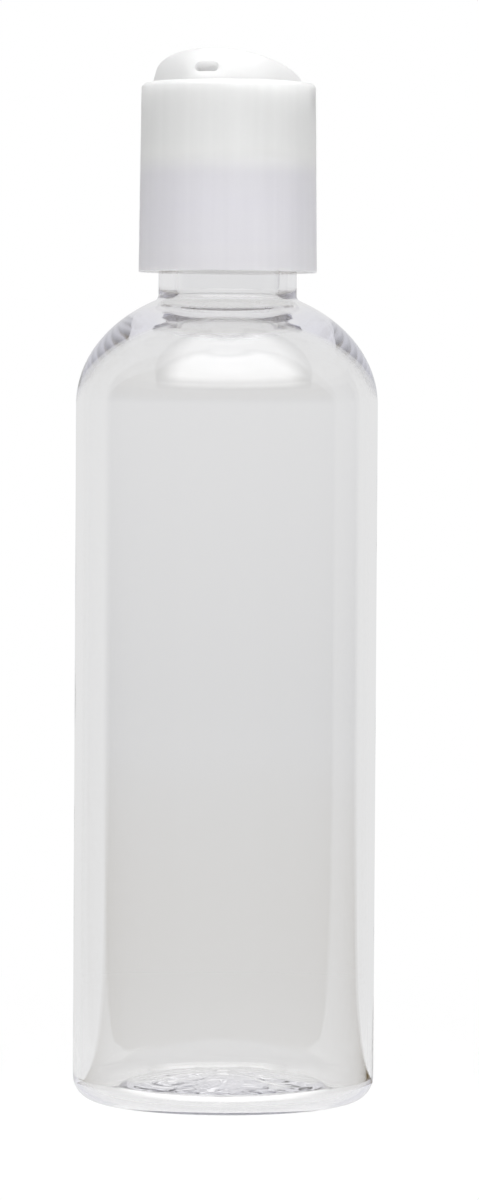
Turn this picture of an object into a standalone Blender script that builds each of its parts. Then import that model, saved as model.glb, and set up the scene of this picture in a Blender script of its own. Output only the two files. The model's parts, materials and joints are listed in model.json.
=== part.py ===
"""A clear travel bottle with a press cap: four separate pieces, in metres, +Z up.

The origin is on the bottle's axis in the plane that it stands on, and the spout points to -Y.
Pieces are the blown bottle, the sealing washer on its lip, the screwed cap body, and the press
disc that rocks in the top of the cap. The disc is modelled shut in its own frame, whose origin
is on its pivot pins, and is then tipped open about them, as it stands at rest.
"""

import math

import bmesh
import bpy

# Gaps between pieces that touch or run on each other
CLEARANCE = 0.0003
PIN_RUNNING_GAP = 0.00015
PIN_END_GAP = 0.00015
DISC_SIDE_GAP = 0.0003
THREAD_CREST_GAP = 0.0002
CAP_THREAD_CREST_GAP = 0.0004
THREAD_FLANK_GAP = 0.0002
OVERRUN = 0.0010
AXIS_MERGE = 0.00001

# Bottle body
BODY_DIAMETER = 0.0380
BODY_WALL = 0.0008
HEEL_RADIUS = 0.0030
FOOT_WIDTH = 0.0014
BASE_WALL = 0.0010
PUSH_UP_STEP = 0.0013
PUSH_UP_STEP_WIDTH = 0.0028
PUSH_UP_CROWN = 0.0008
GATE_DIAMETER = 0.0022
GATE_DEPTH = 0.0004
GATE_TIP_SHARE = 0.8
CROWN_SHARES = (0.4, 0.75, 1)
STEP_SHARES = (0.25, 0.5, 0.75, 1)
STRAIGHT_TOP = 0.0878
SHOULDER_RISE = 0.01485
SHOULDER_TOP_WALL = 0.00245

# Bottle neck and its thread
NECK_DIAMETER = 0.0174
NECK_WALL = 0.00225
NECK_SHOWING = 0.0034
NECK_FILLET = 0.0008
LIP_CHAMFER = 0.0004
THREAD_PITCH = 0.003175
THREAD_HEIGHT = 0.00115
THREAD_FOOT_WIDTH = 0.0020
THREAD_CREST_WIDTH = 0.0007
THREAD_TOP_DEPTH = 0.0020
THREAD_TURNS = 1.5
THREAD_FADE_TURNS = 0.12
THREAD_ROOTING = 0.0004

# Sealing washer
WASHER_THICKNESS = 0.0008

# Cap body
SKIRT_LENGTH = 0.0150
SKIRT_WALL = 0.001165
SKIRT_TAPER = 0.00025
CAP_RIM_WALL = 0.001015
CAP_RIM_ROUND = 0.0007
CAP_EDGE_ROUND = 0.0003
DECK_THICKNESS = 0.0010
PLUG_WALL = 0.0008
PLUG_LENGTH = 0.0030
CAP_THREAD_FOOT_WIDTH = 0.0018
CAP_THREAD_CREST_WIDTH = 0.0006
CAP_THREAD_TURNS = 1.5
VALVE_TO_DECK = 0.0014
POST_DIAMETER = 0.0044
POST_LIP = 0.00035
ORIFICE_DIAMETER = 0.0016
LEDGE_WIDTH = 0.0060
LEDGE_DEPTH = 0.0016
REST_WIDTH = 0.0012
REST_DEPTH = 0.0022
REST_SPACING = 0.0090
GROOVE_DEPTH = 0.00025

# Press disc
DISC_THICKNESS = 0.0014
DISC_EDGE_ROUND = 0.0002
DISC_SKIRT_HEIGHT = 0.0050
DISC_SKIRT_WALL = 0.0010
REAR_RELIEF = 0.0002
EAR_LENGTH = 0.0013
PIVOT_BACK = 0.00085
PIVOT_DEPTH = 0.0019
PIN_DIAMETER = 0.0016
PIN_REACH = 0.00045
SPOUT_WIDTH = 0.0030
SPOUT_HEIGHT = 0.0013
SPOUT_ROUND = 0.0005
SPOUT_DEPTH = 0.0027
DUCT_WALL = 0.0008
VALVE_RADIUS = 0.0044
VALVE_CHEEK = 0.0011
INLET_DIAMETER = 0.0014
DISH_DIAMETER = 0.0068
DISH_DEPTH = 0.00045
DISH_MARGIN = 0.00115
OPEN_ANGLE = math.radians(24)

# Facets
TURN_STEPS = 60
THREAD_STEPS_PER_TURN = 40
SHOULDER_STEPS = 10
ROUND_STEPS = 4
BARREL_STEPS = 8
ROD_SIDES = 24
VALVE_SIDES = 48
SHARP_ANGLE = math.radians(35)

# Radii, from the neck's out to the cap's and its disc's
BODY = BODY_DIAMETER / 2
NECK = NECK_DIAMETER / 2
BORE = NECK - NECK_WALL
PLUG = BORE - CLEARANCE
THREAD_CREST = NECK + THREAD_HEIGHT
CAP_BORE = THREAD_CREST + THREAD_CREST_GAP
CAP_THREAD_CREST = NECK + CAP_THREAD_CREST_GAP
CAP_FOOT = CAP_BORE + SKIRT_WALL
CAP_RIM = CAP_FOOT - SKIRT_TAPER
CHAMBER = CAP_RIM - CAP_RIM_WALL
DISC = CHAMBER - DISC_SIDE_GAP
CHAMBER_AT_PIVOT = math.sqrt(CHAMBER**2 - PIVOT_BACK**2)
PIN_TIP = CHAMBER_AT_PIVOT + PIN_REACH
VALVE_WIDTH = SPOUT_WIDTH + 2 * VALVE_CHEEK

# Heights, from the table up
SHOULDER_TOP = STRAIGHT_TOP + SHOULDER_RISE * math.sqrt(1 - (NECK / BODY) ** 2)
CAP_BOTTOM = SHOULDER_TOP + NECK_SHOWING
DECK_BOTTOM = CAP_BOTTOM + SKIRT_LENGTH
DECK_TOP = DECK_BOTTOM + DECK_THICKNESS
WASHER_TOP = DECK_BOTTOM - CLEARANCE
WASHER_BOTTOM = WASHER_TOP - WASHER_THICKNESS
FINISH_TOP = WASHER_BOTTOM - CLEARANCE
NECK_THREAD_START = FINISH_TOP - THREAD_TOP_DEPTH - THREAD_PITCH * THREAD_TURNS
PIVOT_HEIGHT = DECK_TOP + VALVE_TO_DECK + VALVE_RADIUS
CAP_TOP = PIVOT_HEIGHT + PIVOT_DEPTH
SPOUT_MIDDLE = PIVOT_DEPTH - SPOUT_DEPTH


def clear_scene():
    for obj in list(bpy.data.objects):
        bpy.data.objects.remove(obj)


def new_collection(name):
    made = bpy.data.collections.new(name)
    bpy.context.scene.collection.children.link(made)
    return made


def principled(name, colour, roughness, transmission=0.0):
    """A plain, unmetallic material with a Principled BSDF."""
    made = bpy.data.materials.new(name)
    made.use_nodes = True
    shader = made.node_tree.nodes["Principled BSDF"]
    shader.inputs["Base Color"].default_value = (*colour, 1.0)
    shader.inputs["Roughness"].default_value = roughness
    shader.inputs["Metallic"].default_value = 0.0
    shader.inputs["Transmission Weight"].default_value = transmission
    return made


def add_object(name, mesh, collection):
    """Puts a bmesh into a new object and frees it."""
    data = bpy.data.meshes.new(name)
    mesh.to_mesh(data)
    mesh.free()
    data.shade_smooth()
    data.set_sharp_from_angle(angle=SHARP_ANGLE)
    made = bpy.data.objects.new(name, data)
    collection.objects.link(made)
    return made


def helper(made):
    """A cutter or a joined form: drawn as wires and left out of the finished object."""
    made.hide_render = True
    made.display_type = "WIRE"
    return made


def arc(middle, height, radius, start, end, steps=ROUND_STEPS):
    """Points on an arc in the profile plane, with its angles in degrees from +X."""
    points = []
    for i in range(steps + 1):
        angle = math.radians(start + (end - start) * i / steps)
        points.append((middle + radius * math.cos(angle), height + radius * math.sin(angle)))
    return points


def turned(name, profile, collection, closed=False):
    """A profile of (radius, height) points turned about Z by a Screw modifier."""
    mesh = bmesh.new()
    points = [mesh.verts.new((radius, 0, height)) for radius, height in profile]
    for first, second in zip(points, points[1:]):
        mesh.edges.new((first, second))
    if closed:
        mesh.edges.new((points[-1], points[0]))
    made = add_object(name, mesh, collection)
    screw = made.modifiers.new("Turn", "SCREW")
    screw.axis = "Z"
    screw.angle = math.tau
    screw.steps = TURN_STEPS
    screw.render_steps = TURN_STEPS
    screw.use_smooth_shade = True
    screw.use_merge_vertices = True
    screw.merge_threshold = AXIS_MERGE
    return made


def box(name, low, high, collection, round_along_y=0):
    """A box between two corners, whose edges along Y may be rounded."""
    mesh = bmesh.new()
    bmesh.ops.create_cube(mesh, size=1)
    for point in mesh.verts:
        for axis in range(3):
            point.co[axis] = high[axis] if point.co[axis] > 0 else low[axis]
    if round_along_y:
        along = [e for e in mesh.edges if e.verts[0].co.x == e.verts[1].co.x
                 and e.verts[0].co.z == e.verts[1].co.z]
        bmesh.ops.bevel(
            mesh, geom=along, offset=round_along_y, segments=ROUND_STEPS, profile=0.5,
            affect="EDGES",
        )
    return helper(add_object(name, mesh, collection))


def rod(name, diameter, start, end, axis, collection, sides=ROD_SIDES):
    """A cylinder along X or Z, from one place on that axis to another."""
    mesh = bmesh.new()
    bmesh.ops.create_cone(
        mesh, cap_ends=True, segments=sides, radius1=diameter / 2, radius2=diameter / 2, depth=1
    )
    for point in mesh.verts:
        point.co.z = end if point.co.z > 0 else start
    if axis == "X":
        for point in mesh.verts:
            point.co = (point.co.z, point.co.y, -point.co.x)
    return helper(add_object(name, mesh, collection))


def boolean(target, tool, operation):
    step = target.modifiers.new(tool.name, "BOOLEAN")
    step.object = tool
    step.operation = operation
    step.solver = "EXACT"


def join(target, tool):
    boolean(target, tool, "UNION")


def cut(target, tool):
    boolean(target, tool, "DIFFERENCE")


def barrel(height):
    """The disc's radius at a height over its pivot: it is round, so that it clears the chamber."""
    return math.sqrt(DISC**2 - height**2)


def thread(name, wall, crest, foot_width, crest_width, start, turns, collection):
    """A thread's ridge: a section carried up a right-hand helix and faded into its wall at both ends.

    Its section stands on the wall's radius and is rooted a little way into the wall behind it.
    """
    outward = math.copysign(1, crest - wall)
    flank = (foot_width - crest_width) / 2 / abs(crest - wall)
    root = wall - outward * THREAD_ROOTING
    root_half = foot_width / 2 + flank * THREAD_ROOTING
    steps = round(turns * THREAD_STEPS_PER_TURN)
    mesh = bmesh.new()
    rings = []
    for i in range(steps + 1):
        turn = turns * i / steps
        fade = min(1, turn / THREAD_FADE_TURNS, (turns - turn) / THREAD_FADE_TURNS)
        top = (wall - outward * THREAD_ROOTING / 2) * (1 - fade) + crest * fade
        height = start + THREAD_PITCH * turn
        angle = math.tau * turn
        section = [
            (root, -root_half), (root, root_half), (top, crest_width / 2), (top, -crest_width / 2)
        ]
        rings.append([
            mesh.verts.new((r * math.cos(angle), r * math.sin(angle), height + up))
            for r, up in section
        ])
    for ring, following in zip(rings, rings[1:]):
        for j in range(len(ring)):
            k = (j + 1) % len(ring)
            mesh.faces.new((ring[j], ring[k], following[k], following[j]))
    mesh.faces.new(rings[0])
    mesh.faces.new(rings[-1])
    bmesh.ops.recalc_face_normals(mesh, faces=mesh.faces)
    return helper(add_object(name, mesh, collection))


def push_up(radius):
    """Height of the base's underside above the table, inside the foot."""
    inside = BODY - HEEL_RADIUS - FOOT_WIDTH
    plateau = inside - PUSH_UP_STEP_WIDTH
    if radius > plateau:
        share = max(0, inside - radius) / PUSH_UP_STEP_WIDTH
        return PUSH_UP_STEP * (1 - math.cos(math.pi * share)) / 2
    return PUSH_UP_STEP + PUSH_UP_CROWN * (1 - (radius / plateau) ** 2)


def base_radii():
    """Radii from the middle of the base to the foot: a crowned floor, then a rounded step."""
    inside = BODY - HEEL_RADIUS - FOOT_WIDTH
    plateau = inside - PUSH_UP_STEP_WIDTH
    crown = [plateau * share for share in CROWN_SHARES]
    return crown + [plateau + PUSH_UP_STEP_WIDTH * share for share in STEP_SHARES]


def shoulder(half_width, rise, end_radius, steps=SHOULDER_STEPS):
    """Points of a quarter-ellipse shoulder, from the straight wall up to a radius."""
    end = math.acos(end_radius / half_width)
    return [
        (half_width * math.cos(end * i / steps), STRAIGHT_TOP + rise * math.sin(end * i / steps))
        for i in range(steps + 1)
    ]


def neck_blend():
    """The rounded corner where the neck meets the shoulder, and the shoulder's top radius."""
    meeting = NECK + NECK_FILLET / 2
    height = SHOULDER_RISE * math.sqrt(1 - (meeting / BODY) ** 2)
    slope = math.degrees(math.atan((SHOULDER_RISE / BODY) ** 2 * meeting / height))
    corner = arc(NECK + NECK_FILLET, 0, NECK_FILLET, 180, 270 - slope, 3)
    radius = corner[-1][0]
    join_height = STRAIGHT_TOP + SHOULDER_RISE * math.sqrt(1 - (radius / BODY) ** 2)
    lift = join_height - corner[-1][1]
    return [(r, z + lift) for r, z in corner[:-1]], radius


def bottle_profile():
    """From the middle of the floor up the inside, over the lip and down the outside."""
    inner = BODY - BODY_WALL
    inner_heel = HEEL_RADIUS - BODY_WALL
    blend, shoulder_top = neck_blend()
    floor = [(0, BASE_WALL + push_up(0))]
    floor += [(radius, BASE_WALL + push_up(radius)) for radius in base_radii()]
    floor += arc(inner - inner_heel, BASE_WALL + inner_heel, inner_heel, -90, 0)
    lip = [
        (BORE, FINISH_TOP - LIP_CHAMFER),
        (BORE + LIP_CHAMFER, FINISH_TOP),
        (NECK - LIP_CHAMFER, FINISH_TOP),
        (NECK, FINISH_TOP - LIP_CHAMFER),
    ]
    under = [(radius, push_up(radius)) for radius in reversed(base_radii())]
    gate = GATE_DIAMETER / 2
    nub = push_up(gate) - GATE_DEPTH
    return (
        floor
        + shoulder(inner, SHOULDER_RISE - SHOULDER_TOP_WALL, BORE)
        + lip
        + blend
        + list(reversed(shoulder(BODY, SHOULDER_RISE, shoulder_top)))
        + arc(BODY - HEEL_RADIUS, HEEL_RADIUS, HEEL_RADIUS, 0, -90, ROUND_STEPS + 2)
        + under
        + [(gate, push_up(gate)), (gate * GATE_TIP_SHARE, nub), (0, nub)]
    )


def make_bottle(parts, tools):
    """The blown body, with the ridge of its outer thread on the neck."""
    made = turned("bottle", bottle_profile(), parts)
    join(made, thread(
        "neck_thread", NECK, THREAD_CREST, THREAD_FOOT_WIDTH, THREAD_CREST_WIDTH,
        NECK_THREAD_START, THREAD_TURNS, tools,
    ))
    made.data.materials.append(principled("clear_pet", (0.90, 0.93, 0.94), 0.04, 1.0))
    return made


def make_washer(parts):
    """A flat ring held round the plug, between the bottle's lip and the cap's deck."""
    outer = CAP_BORE - CLEARANCE
    inner = PLUG + CLEARANCE
    ring = [
        (inner, WASHER_TOP), (outer, WASHER_TOP), (outer, WASHER_BOTTOM), (inner, WASHER_BOTTOM)
    ]
    made = turned("seal_washer", ring, parts, closed=True)
    made.data.materials.append(principled("white_foam", (0.88, 0.88, 0.86), 0.7))
    return made


def cap_profile():
    """From the middle of the deck out and up the chamber, over the rim and down the outside,
    then up the skirt's bore and over the plug to the middle of the deck's underside."""
    plug_end = DECK_BOTTOM - PLUG_LENGTH
    return (
        [(0, DECK_TOP), (CHAMBER, DECK_TOP), (CHAMBER, CAP_TOP - CAP_EDGE_ROUND)]
        + [(CHAMBER + CAP_EDGE_ROUND, CAP_TOP)]
        + arc(CAP_RIM - CAP_RIM_ROUND, CAP_TOP - CAP_RIM_ROUND, CAP_RIM_ROUND, 90, 0)
        + arc(CAP_FOOT - CAP_EDGE_ROUND, CAP_BOTTOM + CAP_EDGE_ROUND, CAP_EDGE_ROUND, 0, -90, 2)
        + [(CAP_BORE + CAP_EDGE_ROUND, CAP_BOTTOM), (CAP_BORE, CAP_BOTTOM + CAP_EDGE_ROUND)]
        + [(CAP_BORE, DECK_BOTTOM), (PLUG, DECK_BOTTOM), (PLUG, plug_end + PLUG_WALL / 2)]
        + [(PLUG - PLUG_WALL / 2, plug_end), (PLUG - PLUG_WALL, plug_end)]
        + [(PLUG - PLUG_WALL, DECK_BOTTOM), (0, DECK_BOTTOM)]
    )


def half_width(radius, wall, crest, foot_width, crest_width):
    """Half of a thread ridge's width at a radius between its wall and its crest."""
    share = (radius - wall) / (crest - wall)
    return (foot_width * (1 - share) + crest_width * share) / 2


def cap_thread_drop():
    """How far the cap's thread lies under the neck's, whose lower flank it bears on."""
    return THREAD_FLANK_GAP + max(
        half_width(radius, NECK, THREAD_CREST, THREAD_FOOT_WIDTH, THREAD_CREST_WIDTH)
        + half_width(
            radius, CAP_BORE, CAP_THREAD_CREST, CAP_THREAD_FOOT_WIDTH, CAP_THREAD_CREST_WIDTH
        )
        for radius in (CAP_THREAD_CREST, THREAD_CREST)
    )


def make_cap(parts, tools):
    """Skirt, deck, plug and disc chamber in one moulding, with the valve's seat on the deck."""
    made = turned("cap_body", cap_profile(), parts)
    join(made, thread(
        "cap_thread", CAP_BORE, CAP_THREAD_CREST, CAP_THREAD_FOOT_WIDTH,
        CAP_THREAD_CREST_WIDTH, NECK_THREAD_START - cap_thread_drop(), CAP_THREAD_TURNS, tools,
    ))

    # The post stands under the disc's pivot, and its saddle follows the valve's round.
    post_top = DECK_TOP + VALVE_TO_DECK + POST_LIP
    post = rod(
        "orifice_post", POST_DIAMETER, DECK_TOP - DECK_THICKNESS / 2, post_top, "Z", tools
    )
    saddle = rod(
        "post_saddle", 2 * (VALVE_RADIUS + CLEARANCE), -POST_DIAMETER, POST_DIAMETER,
        "X", tools, VALVE_SIDES,
    )
    orifice = rod(
        "orifice", ORIFICE_DIAMETER, DECK_BOTTOM - OVERRUN, post_top + OVERRUN, "Z", tools
    )
    socket_end = PIN_TIP + PIN_END_GAP
    socket_radius = PIN_DIAMETER / 2 + PIN_RUNNING_GAP
    sockets = rod("pin_sockets", 2 * socket_radius, -socket_end, socket_end, "X", tools)
    for tool in (post, orifice):
        tool.location = (0, PIVOT_BACK, 0)
    for tool in (saddle, sockets):
        tool.location = (0, PIVOT_BACK, PIVOT_HEIGHT)
    # Shallow grooves lead the pins from the rim down to their sockets.
    groove_end = CHAMBER_AT_PIVOT + GROOVE_DEPTH
    groove_half = (PIN_DIAMETER + PIN_RUNNING_GAP) / 2
    grooves = box(
        "pin_grooves",
        (-groove_end, PIVOT_BACK - groove_half, PIVOT_HEIGHT),
        (groove_end, PIVOT_BACK + groove_half, CAP_TOP + OVERRUN),
        tools,
    )
    join(made, post)
    cut(made, saddle)
    cut(made, orifice)
    cut(made, sockets)
    cut(made, grooves)

    # The disc's rear edge stops on the ledge when it is open, and its front skirt lies over
    # the two rests when it is shut.
    underside = PIVOT_DEPTH - DISC_THICKNESS + REAR_RELIEF
    rear_edge = barrel(underside) - PIVOT_BACK
    drop = rear_edge * math.sin(OPEN_ANGLE) - underside * math.cos(OPEN_ANGLE)
    wall_middle = CHAMBER + CAP_RIM_WALL / 2
    deck_middle = DECK_TOP - DECK_THICKNESS / 2
    ledge = box(
        "rear_ledge",
        (-LEDGE_WIDTH / 2, CHAMBER - LEDGE_DEPTH, deck_middle),
        (LEDGE_WIDTH / 2, math.sqrt(wall_middle**2 - LEDGE_WIDTH**2 / 4),
         PIVOT_HEIGHT - drop - CLEARANCE),
        tools,
    )
    join(made, ledge)
    for name, side in (("left_rest", -1), ("right_rest", 1)):
        middle = side * REST_SPACING / 2
        outside = abs(middle) + REST_WIDTH / 2
        front = math.sqrt(wall_middle**2 - outside**2)
        join(made, box(
            name,
            (middle - REST_WIDTH / 2, -front, deck_middle),
            (middle + REST_WIDTH / 2, REST_DEPTH - front,
             CAP_TOP - DISC_SKIRT_HEIGHT - CLEARANCE),
            tools,
        ))
    made.data.materials.append(principled("white_pp_cap", (0.83, 0.86, 0.87), 0.35))
    return made


def disc_profile():
    """Across the disc's top, down its round skirt and back along the plate's underside."""
    bottom = PIVOT_DEPTH - DISC_SKIRT_HEIGHT
    underside = PIVOT_DEPTH - DISC_THICKNESS
    top = PIVOT_DEPTH - DISC_EDGE_ROUND
    side = [top + (bottom - top) * i / BARREL_STEPS for i in range(BARREL_STEPS + 1)]
    return (
        [(0, PIVOT_DEPTH)]
        + arc(barrel(top) - DISC_EDGE_ROUND, top, DISC_EDGE_ROUND, 90, 0, 3)[:-1]
        + [(barrel(height), height) for height in side]
        + [(barrel(bottom) - DISC_SKIRT_WALL, bottom)]
        + [(barrel(underside) - DISC_SKIRT_WALL, underside), (0, underside)]
    )


def thumb_dish(tools):
    """A lens that hollows the rear of the disc's top, where the thumb presses."""
    half = DISH_DIAMETER / 2
    radius = (half**2 + DISH_DEPTH**2) / (2 * DISH_DEPTH)
    reach = math.degrees(math.asin(half / radius))
    bowl = arc(0, radius - DISH_DEPTH, radius, -90 + reach, -90)
    profile = [(0, OVERRUN), (half, OVERRUN)] + bowl[:-1] + [(0, -DISH_DEPTH)]
    made = helper(turned("thumb_dish", profile, tools))
    made.location = (0, barrel(PIVOT_DEPTH) - DISH_MARGIN - half - PIVOT_BACK, PIVOT_DEPTH)
    return made


def valve(collection):
    """The round that shuts the orifice, about the pivot's axis and cut off inside the plate."""
    mesh = bmesh.new()
    bmesh.ops.create_cone(
        mesh, cap_ends=True, segments=VALVE_SIDES, radius1=VALVE_RADIUS, radius2=VALVE_RADIUS,
        depth=VALVE_WIDTH,
    )
    for point in mesh.verts:
        point.co = (point.co.z, point.co.y, -point.co.x)
    sliced = bmesh.ops.bisect_plane(
        mesh, geom=mesh.verts[:] + mesh.edges[:] + mesh.faces[:],
        plane_co=(0, 0, PIVOT_DEPTH - DISC_THICKNESS / 2), plane_no=(0, 0, 1), clear_outer=True,
    )
    rim = [item for item in sliced["geom_cut"] if isinstance(item, bmesh.types.BMEdge)]
    bmesh.ops.edgeloop_fill(mesh, edges=rim)
    bmesh.ops.recalc_face_normals(mesh, faces=mesh.faces)
    return add_object("press_disc", mesh, collection)


def make_disc(parts, tools):
    """Valve, plate with its front skirt, spout duct and pins, built shut about the pivot."""
    made = valve(parts)
    bottom = PIVOT_DEPTH - DISC_SKIRT_HEIGHT
    underside = PIVOT_DEPTH - DISC_THICKNESS
    plate = helper(turned("disc_plate", disc_profile(), tools))
    plate.location.y = -PIVOT_BACK
    rear_cut = box(
        "rear_cut",
        (-BODY, EAR_LENGTH, bottom - OVERRUN),
        (BODY, BODY, underside + REAR_RELIEF),
        tools,
    )
    cut(plate, rear_cut)

    duct_half = SPOUT_WIDTH / 2 + DUCT_WALL
    duct_front = PIVOT_BACK + math.sqrt((DISC - DISC_SKIRT_WALL / 2) ** 2 - duct_half**2)
    duct = box(
        "spout_duct",
        (-duct_half, -duct_front, SPOUT_MIDDLE - SPOUT_HEIGHT / 2 - DUCT_WALL),
        (duct_half, 0, PIVOT_DEPTH - DISC_THICKNESS / 2),
        tools,
    )
    pins = [
        rod(name, PIN_DIAMETER, *sorted((side * (DISC - DISC_SKIRT_WALL / 2), side * PIN_TIP)),
            "X", tools)
        for name, side in (("left_pin", -1), ("right_pin", 1))
    ]
    for tool in (plate, duct, *pins):
        join(made, tool)

    channel = box(
        "spout_channel",
        (-SPOUT_WIDTH / 2, -DISC - PIVOT_BACK - OVERRUN, SPOUT_MIDDLE - SPOUT_HEIGHT / 2),
        (SPOUT_WIDTH / 2, INLET_DIAMETER, SPOUT_MIDDLE + SPOUT_HEIGHT / 2),
        tools,
        SPOUT_ROUND,
    )
    inlet = rod(
        "valve_inlet", INLET_DIAMETER, -VALVE_RADIUS - OVERRUN, SPOUT_MIDDLE, "Z", tools
    )
    inlet.rotation_euler.x = OPEN_ANGLE
    dish = thumb_dish(tools)
    for tool in (channel, inlet, dish):
        cut(made, tool)

    for tool in (plate, rear_cut, duct, *pins, channel, inlet, dish):
        tool.parent = made
    made.location = (0, PIVOT_BACK, PIVOT_HEIGHT)
    made.rotation_euler.x = -OPEN_ANGLE
    made.data.materials.append(principled("white_pp_disc", (0.90, 0.91, 0.91), 0.3))
    return made


def build():
    clear_scene()
    parts = new_collection("press_cap_bottle")
    tools = new_collection("cutters")
    make_bottle(parts, tools)
    make_washer(parts)
    make_cap(parts, tools)
    make_disc(parts, tools)


build()
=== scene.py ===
"""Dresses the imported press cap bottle: a clear blown bottle, its sealing washer, a moulded cap
and the press disc that rocks in it, with a plain pale floor and soft studio light.

It is laid out as an add-on and run as a script. Every length is in metres.
"""

import json
import math

import bmesh
import bpy
from bpy.props import FloatProperty, FloatVectorProperty, IntProperty, PointerProperty
from mathutils import Matrix, Vector


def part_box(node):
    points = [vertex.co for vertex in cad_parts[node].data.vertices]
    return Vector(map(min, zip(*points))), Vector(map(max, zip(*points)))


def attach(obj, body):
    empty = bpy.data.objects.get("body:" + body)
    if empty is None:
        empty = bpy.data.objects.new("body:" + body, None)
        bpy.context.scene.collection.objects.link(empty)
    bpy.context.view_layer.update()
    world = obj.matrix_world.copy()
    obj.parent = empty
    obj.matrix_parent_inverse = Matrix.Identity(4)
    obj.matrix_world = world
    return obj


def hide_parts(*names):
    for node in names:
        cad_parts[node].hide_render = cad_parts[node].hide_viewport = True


bl_info = {
    "name": "Press Cap Bottle",
    "version": (1, 0, 0),
    "blender": (4, 5, 0),
    "location": "3D View > Sidebar > Bottle",
    "description": "Builds the visible pieces of a clear travel bottle with a press cap",
    "category": "Add Mesh",
}

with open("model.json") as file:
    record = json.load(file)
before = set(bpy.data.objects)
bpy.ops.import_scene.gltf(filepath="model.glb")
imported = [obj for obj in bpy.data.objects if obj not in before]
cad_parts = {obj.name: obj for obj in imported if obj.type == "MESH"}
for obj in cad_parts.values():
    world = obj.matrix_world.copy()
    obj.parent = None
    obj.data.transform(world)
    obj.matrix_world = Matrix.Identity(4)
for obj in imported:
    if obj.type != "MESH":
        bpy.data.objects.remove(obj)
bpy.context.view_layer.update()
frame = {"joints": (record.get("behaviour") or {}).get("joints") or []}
_, BOTTLE_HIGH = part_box("bottle")
WASHER_LOW, WASHER_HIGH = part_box("seal_washer")
CAP_LOW, CAP_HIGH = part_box("cap_body")
TILT = next(joint for joint in frame["joints"] if joint["name"] == "disc_tilt")
PIVOT = Vector(TILT["pos_m"])
OPEN_ANGLE = math.radians(TILT["range_deg"][1])

# The photograph's frame and what was measured in it, in its pixels
PHOTO_WIDTH = 479
PHOTO_HEIGHT = 1200
PIXELS_PER_METRE = 7934
FOCAL_PIXELS = 5380
HORIZON_ROW = 397
FOOT_ROW = 1101
AXIS_COLUMN = 225.8
# The camera's sensor, in millimetres
SENSOR = 36

# Where the studio's screens stand, in degrees of azimuth from the camera and of elevation
SOFTBOX_AZIMUTHS = (-58, 72)
SOFTBOX_ELEVATIONS = (23, 82)
SOFTBOX_FLARE = 0.6
# The shares of its width and height over which the softbox fades out
SOFTBOX_FADES = (0.19, 0.16)
CARD_AZIMUTHS = (-101, 119)
CARD_ELEVATIONS = (-88, 22)
# How far up the card, from 0 to 1, each of its tones stands
CARD_TONE_HEIGHTS = (0.2, 0.735, 0.8, 0.86)

# A point this near the axis counts as on it.
POLE = 1e-6
# Rings of faces across the bottle's floor and up its straight wall
FLOOR_RINGS, WALL_RINGS = 30, 8
# Steps round the bottle's heel, outside and inside
HEEL_STEPS, INNER_HEEL_STEPS = 16, 14
# Rings of faces down the cap's outside and the disc's skirt
CAP_RINGS, DISC_RINGS = 7, 24
# The paper lies this far under the bottle's foot, and the card's foot this far over the paper.
FLOOR_GAP = 0.00002
STAGE_GAP = 0.0005
# The disc's clouds, and the painted shade in the bottoms of the foam's cut cells, as shares of
# their plain colours
CLOUD_SHADE, PAINTED_PIT_SHADE = 0.985, 0.92
# The cap's upright marks run between these shares of its tone.
DRAW_SHADES = (0.965, 1.03)
# The paper's glow and its own shade near the bottle, as shares of the backdrop and the paper
FLOOR_GLOW, FLOOR_SHADE = 0.9, 0.14
# Out to this share of the bottle's radius, the painted pool of light on the paper under it is full.
PAINTED_POOL_REACH = 0.6
# How often light may turn in dull plastic, and in gloss and clear plastic
DULL_BOUNCES, CLEAR_BOUNCES = 16, 64


def length(name, description, default):
    """A size in metres that a user may change."""
    return FloatProperty(
        name=name, description=description, default=default, min=0, precision=5, unit="LENGTH"
    )


def angle(name, description, degrees):
    """An angle that a user may change, given in degrees and kept in radians."""
    return FloatProperty(
        name=name, description=description, default=math.radians(degrees), subtype="ANGLE"
    )


def amount(name, description, default):
    """A plain number that a user may change."""
    return FloatProperty(name=name, description=description, default=default, min=0)


def linear(code):
    """An sRGB hex colour as linear red, green and blue."""
    parts = [int(code[i:i + 2], 16) / 255 for i in (0, 2, 4)]
    return tuple(p / 12.92 if p <= 0.04045 else ((p + 0.055) / 1.055) ** 2.4 for p in parts)


def colour(name, description, code):
    """A colour that a user may change, given as sRGB hex and kept linear."""
    return FloatVectorProperty(
        name=name, description=description, default=linear(code), size=3, min=0, max=1,
        subtype="COLOR",
    )


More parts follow.
